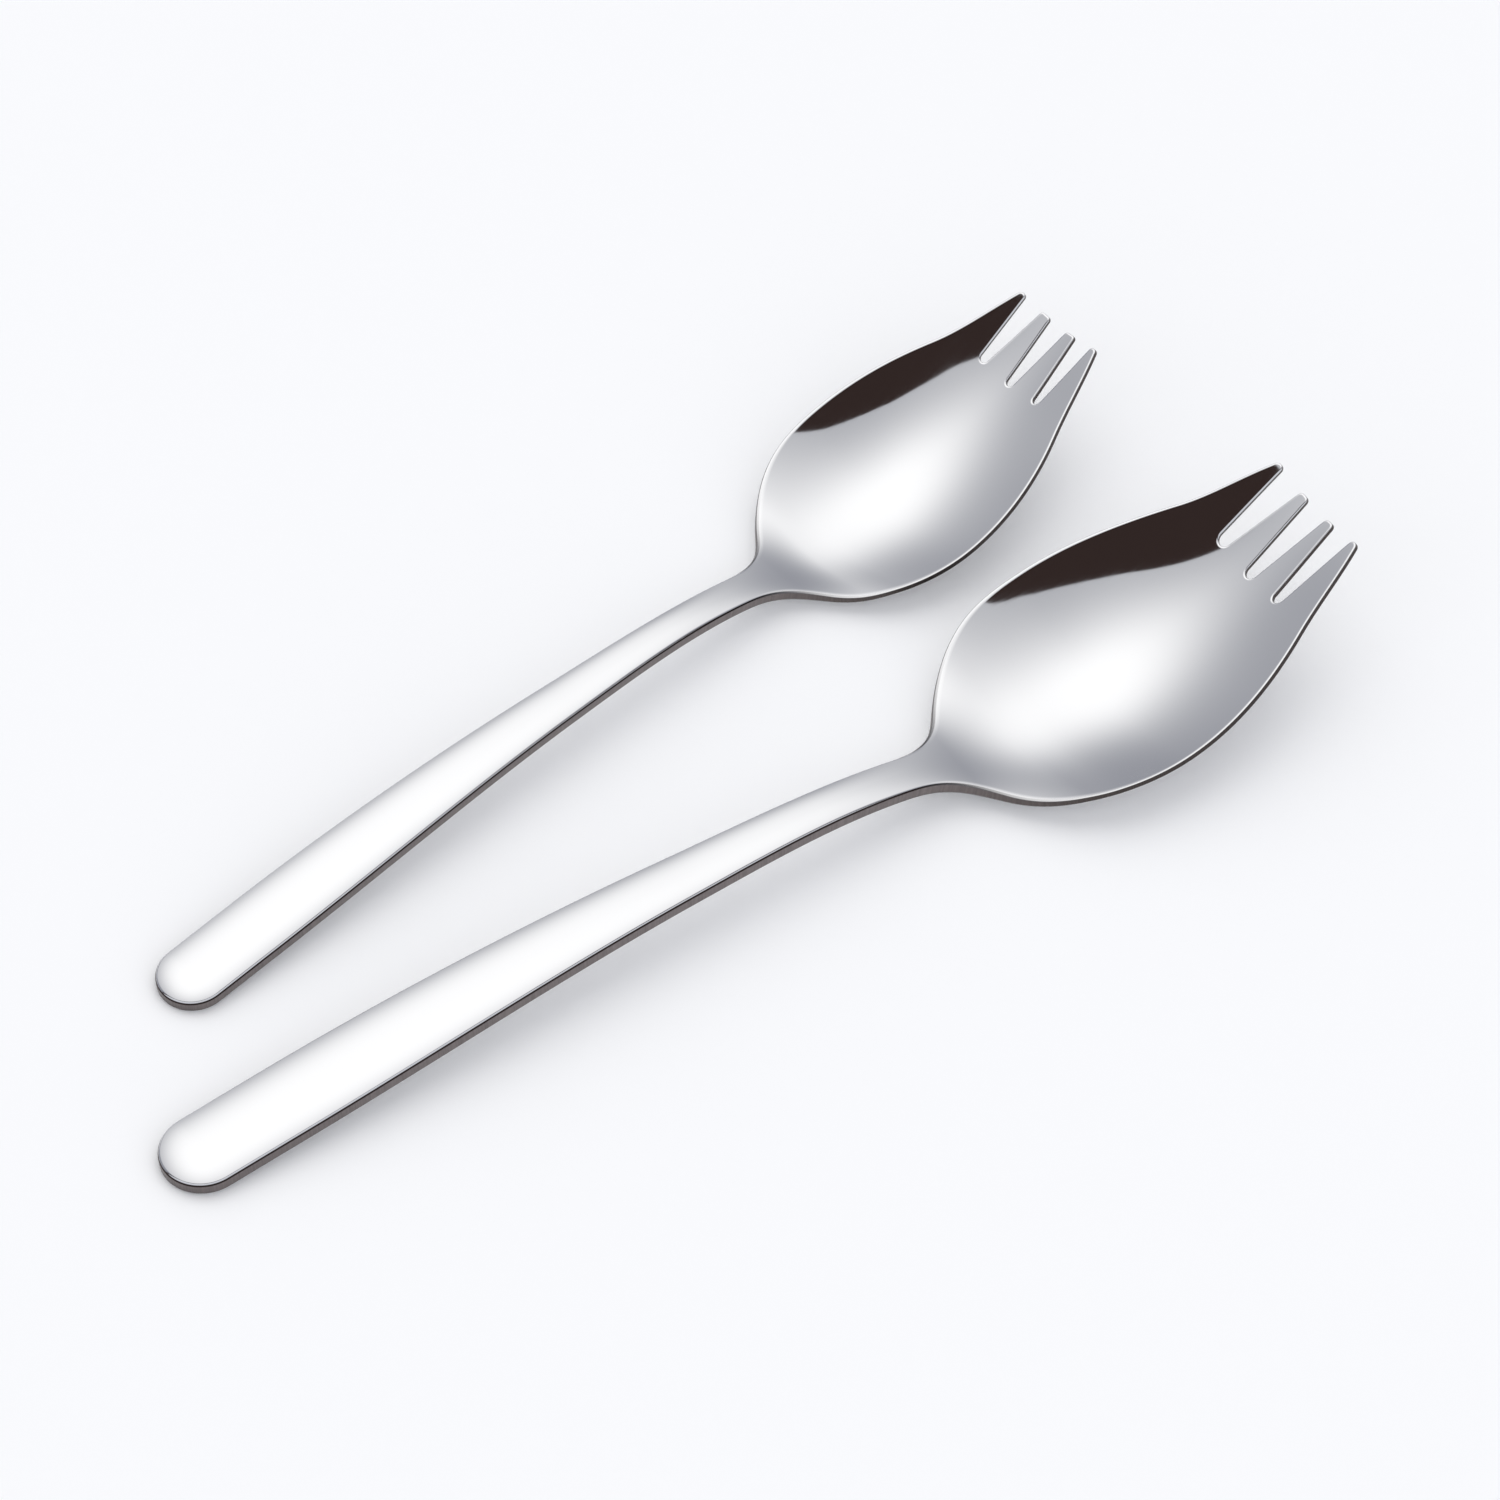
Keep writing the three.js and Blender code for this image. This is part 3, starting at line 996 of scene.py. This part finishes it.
def set_world(studio):
    """The room that the steel mirrors, painted by direction as the camera's stage sees it.

    X points to the camera's right, Y away from it and Z up. An overhead softbox is brightest
    at its middle and falls off as exp(-q^p), where q sums s u^2 over its four axes, for a way
    out u along an axis with a steepness s of its own. A bowed edge y = a x^2 + b x + c, with
    x = X / (1 + Z) and y = Y / (1 + Z), ends it on the camera's side. A dark flag hangs
    beyond the edge, and beyond the flag there is a grey wall.
    """
    world = bpy.data.worlds.new("studio_room")
    bpy.context.scene.world = world
    world.use_nodes = True
    tree = world.node_tree
    direction = add_node(tree, "ShaderNodeTexCoord", {}).outputs["Generated"]
    stage = add_node(
        tree,
        "ShaderNodeVectorRotate",
        {"Vector": direction, "Angle": -studio.camera_azimuth},
        rotation_type="Z_AXIS",
    ).outputs[0]

    # Glow of the softbox: the way out along each axis, on a flat map seen from the far side of
    # the sphere of directions, squared and summed.
    toward = add_node(
        tree, "ShaderNodeVectorMath", {0: stage, 1: SOFTBOX_MIDDLE}, operation="DOT_PRODUCT"
    )
    depth = add_node(tree, "ShaderNodeMath", {0: toward.outputs["Value"], 1: 1.0}, operation="ADD")
    fall = 0.0
    for axis, steepness in SOFTBOX_FALLS:
        along = add_node(tree, "ShaderNodeVectorMath", {0: stage, 1: axis}, operation="DOT_PRODUCT")
        mapped = add_node(
            tree, "ShaderNodeMath", {0: along.outputs["Value"], 1: depth.outputs[0]}, operation="DIVIDE"
        )
        way_out = add_node(tree, "ShaderNodeMath", {0: mapped.outputs[0], 1: 0.0}, operation="MAXIMUM")
        square = add_node(tree, "ShaderNodeMath", {0: way_out.outputs[0], 1: 2.0}, operation="POWER")
        summed = {0: square.outputs[0], 1: steepness, 2: fall}
        fall = add_node(tree, "ShaderNodeMath", summed, operation="MULTIPLY_ADD").outputs[0]
    shaped = add_node(tree, "ShaderNodeMath", {0: fall, 1: SOFTBOX_FALL_POWER}, operation="POWER")
    fading = add_node(tree, "ShaderNodeMath", {0: shaped.outputs[0], 1: -1.0}, operation="MULTIPLY")
    glow = add_node(tree, "ShaderNodeMath", {0: fading.outputs[0]}, operation="EXPONENT")
    softbox = add_node(
        tree,
        "ShaderNodeMix",
        {0: glow.outputs[0], 6: (*studio.falloff_colour, 1), 7: (*studio.softbox_colour, 1)},
        data_type="RGBA",
    )

    # Inside the softbox's bowed edge, on a flat map seen from straight below.
    parts = add_node(tree, "ShaderNodeSeparateXYZ", {0: stage})
    below = add_node(tree, "ShaderNodeMath", {0: parts.outputs["Z"], 1: 1.0}, operation="ADD")
    flat_x, flat_y = (
        add_node(
            tree, "ShaderNodeMath", {0: parts.outputs[key], 1: below.outputs[0]}, operation="DIVIDE"
        ).outputs[0]
        for key in ("X", "Y")
    )
    edge_y = 0.0
    for factor in SOFTBOX_EDGE:
        edge_y = add_node(
            tree, "ShaderNodeMath", {0: edge_y, 1: flat_x, 2: factor}, operation="MULTIPLY_ADD"
        ).outputs[0]
    limited = add_node(tree, "ShaderNodeMath", {0: edge_y, 1: EDGE_LIMIT}, operation="MINIMUM")
    beyond = add_node(tree, "ShaderNodeMath", {0: flat_y, 1: limited.outputs[0]}, operation="SUBTRACT")
    inside = add_node(
        tree,
        "ShaderNodeMapRange",
        {"Value": beyond.outputs[0], "From Min": -EDGE_SOFTNESS, "From Max": EDGE_SOFTNESS},
        interpolation_type="SMOOTHSTEP",
    ).outputs[0]

    # The dark flag, and the wall beyond it.
    flag = add_node(
        tree,
        "ShaderNodeMapRange",
        {"Value": beyond.outputs[0], "From Min": -FLAG_WIDTHS[1], "From Max": -FLAG_WIDTHS[0]},
        interpolation_type="SMOOTHSTEP",
    )
    beside = add_node(
        tree,
        "ShaderNodeMix",
        {0: flag.outputs[0], 6: (*studio.wall_colour, 1), 7: (*studio.shade_colour, 1)},
        data_type="RGBA",
    )
    room = add_node(
        tree, "ShaderNodeMix", {0: inside, 6: beside.outputs[2], 7: softbox.outputs[2]}, data_type="RGBA"
    )
    background = tree.nodes["Background"]
    background.inputs["Strength"].default_value = studio.softbox_strength
    tree.links.new(room.outputs[2], background.inputs["Color"])


class SPORK_OT_make_large(Operator):
    """Make the large spork"""

    bl_idname = "spork.make_large"
    bl_label = "Large spork"

    def execute(self, context):
        make_spork("large", context.scene.large_spork, steel(context))
        return {"FINISHED"}


class SPORK_OT_make_small(Operator):
    """Make the small spork"""

    bl_idname = "spork.make_small"
    bl_label = "Small spork"

    def execute(self, context):
        make_spork("small", context.scene.small_spork, steel(context))
        return {"FINISHED"}


class SPORK_OT_set_stage(Operator):
    """Make the floor, the light and the camera"""

    bl_idname = "spork.set_stage"
    bl_label = "Stage"

    def execute(self, context):
        studio = context.scene.spork_studio
        context.scene.view_settings.view_transform = "Standard"
        add_camera(studio)
        add_floor(studio)
        add_fill_lamp(studio)
        set_world(studio)
        return {"FINISHED"}


class VIEW3D_PT_spork_pair(Panel):
    """The pair's operators, with their sizes, finish and stage"""

    bl_label = "Spork pair"
    bl_space_type = "VIEW_3D"
    bl_region_type = "UI"
    bl_category = "Sporks"

    def draw(self, context):
        for operator, groups in OPERATOR_GROUPS:
            self.layout.operator(operator.bl_idname)
            for group in groups:
                settings = getattr(context.scene, group)
                for key in settings.__annotations__:
                    self.layout.prop(settings, key)


SCENE_GROUPS = {
    "large_spork": LargeSporkSizes,
    "small_spork": SmallSporkSizes,
    "steel_finish": SteelFinish,
    "spork_studio": StudioSettings,
}
OPERATOR_GROUPS = (
    (SPORK_OT_set_stage, ("spork_studio", "steel_finish")),
    (SPORK_OT_make_large, ("large_spork",)),
    (SPORK_OT_make_small, ("small_spork",)),
)
OPERATORS = tuple(operator for operator, _ in OPERATOR_GROUPS)
CLASSES = (*SCENE_GROUPS.values(), *OPERATORS, VIEW3D_PT_spork_pair)


def register():
    for made in CLASSES:
        bpy.utils.register_class(made)
    for key, group in SCENE_GROUPS.items():
        setattr(bpy.types.Scene, key, PointerProperty(type=group))


def unregister():
    for key in SCENE_GROUPS:
        delattr(bpy.types.Scene, key)
    for made in reversed(CLASSES):
        bpy.utils.unregister_class(made)


def main():
    register()
    bpy.ops.spork.set_stage()
    bpy.ops.spork.make_large()
    bpy.ops.spork.make_small()
    bpy.context.view_layer.update()


if __name__ == "__main__":
    main()
